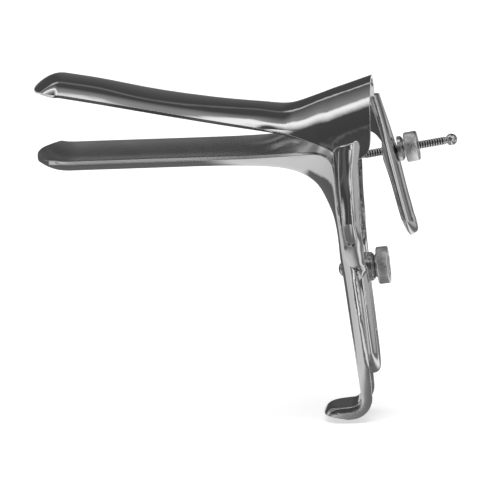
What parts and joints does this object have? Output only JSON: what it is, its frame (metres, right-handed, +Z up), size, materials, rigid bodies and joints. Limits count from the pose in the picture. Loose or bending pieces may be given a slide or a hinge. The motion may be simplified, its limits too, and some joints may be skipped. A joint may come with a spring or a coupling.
{
  "type": "bivalve speculum",
  "caption": "Hand-held two-bladed steel speculum with a sliding yoke, thumb lever, threaded rod with knurled nut, and a lock nut on its slotted stem.",
  "frame": {"origin": "middle of the blade hinge axis, between the two ears of the yoke", "axes": "+X to the rear, away from the blade tips, +Z up, +Y across the blades towards the thumb lever"},
  "size_m": [0.1472, 0.0552, 0.1262],
  "materials": {
    "polished_steel": "mirror polished stainless steel",
    "satin_steel": "satin stainless steel",
    "knurled_steel": "straight knurl, stainless steel",
    "threaded_steel": "cut thread, stainless steel"
  },
  "bodies": {
    "handle": {"lower_blade": "polished_steel", "lock_stud": "satin_steel"},
    "yoke": {"yoke": "polished_steel", "near_hinge_rivet": "satin_steel", "far_hinge_rivet": "satin_steel", "rod_pivot_lug": "satin_steel", "rod_pivot_pin": "satin_steel"},
    "blade": {"upper_blade": "polished_steel", "thumb_lever": "polished_steel"},
    "rod": {"adjusting_rod": "threaded_steel", "rod_ball": "polished_steel"},
    "rod_washer": {"lever_nut_washer": "satin_steel"},
    "rod_nut": {"lever_nut": "knurled_steel"},
    "stem_washer": {"lock_washer": "satin_steel"},
    "stem_nut": {"lock_nut": "knurled_steel"}
  },
  "joints": [
    {"name": "yoke_slide", "type": "slide", "parent": "handle", "child": "yoke", "axis": [-0.0767, 0, 0.9971], "range_m": [0, 0.018]},
    {"name": "blade_hinge", "type": "hinge", "parent": "yoke", "child": "blade", "pos_m": [0, 0, 0], "axis": [0, 1, 0], "range_deg": [-12, 14]},
    {"name": "rod_swing", "type": "hinge", "parent": "yoke", "child": "rod", "pos_m": [0.001, 0.02605, -0.0103], "axis": [0, 1, 0], "range_deg": [-12.1, 14.1]},
    {"name": "rod_nut_travel", "type": "slide", "parent": "rod", "child": "rod_washer", "axis": [0.99, 0, 0.1409], "range_m": [-0.0026, 0.0022]},
    {"name": "rod_nut_turn", "type": "hinge", "parent": "rod_washer", "child": "rod_nut", "pos_m": [0.001, 0.02605, -0.0103], "axis": [0.99, 0, 0.1409], "range_deg": [-1010, 870]},
    {"name": "stem_washer_slide", "type": "slide", "parent": "handle", "child": "stem_washer", "axis": [0.9971, 0, 0.0767], "range_m": [0, 0.00185]},
    {"name": "stem_nut_turn", "type": "hinge", "parent": "stem_washer", "child": "stem_nut", "pos_m": [0.0058, 0, -0.0445], "axis": [0.9971, 0, 0.0767], "range_deg": [0, 720]}
  ],
  "couplings": [
    {"joint": "rod_swing", "follows": "blade_hinge", "ratio": 1},
    {"joint": "rod_nut_travel", "follows": "blade_hinge", "m_per_rad": -0.010256},
    {"joint": "rod_nut_turn", "follows": "blade_hinge", "ratio": -71.6},
    {"joint": "stem_washer_slide", "follows": "stem_nut_turn", "m_per_rad": 0.00014324}
  ]
}
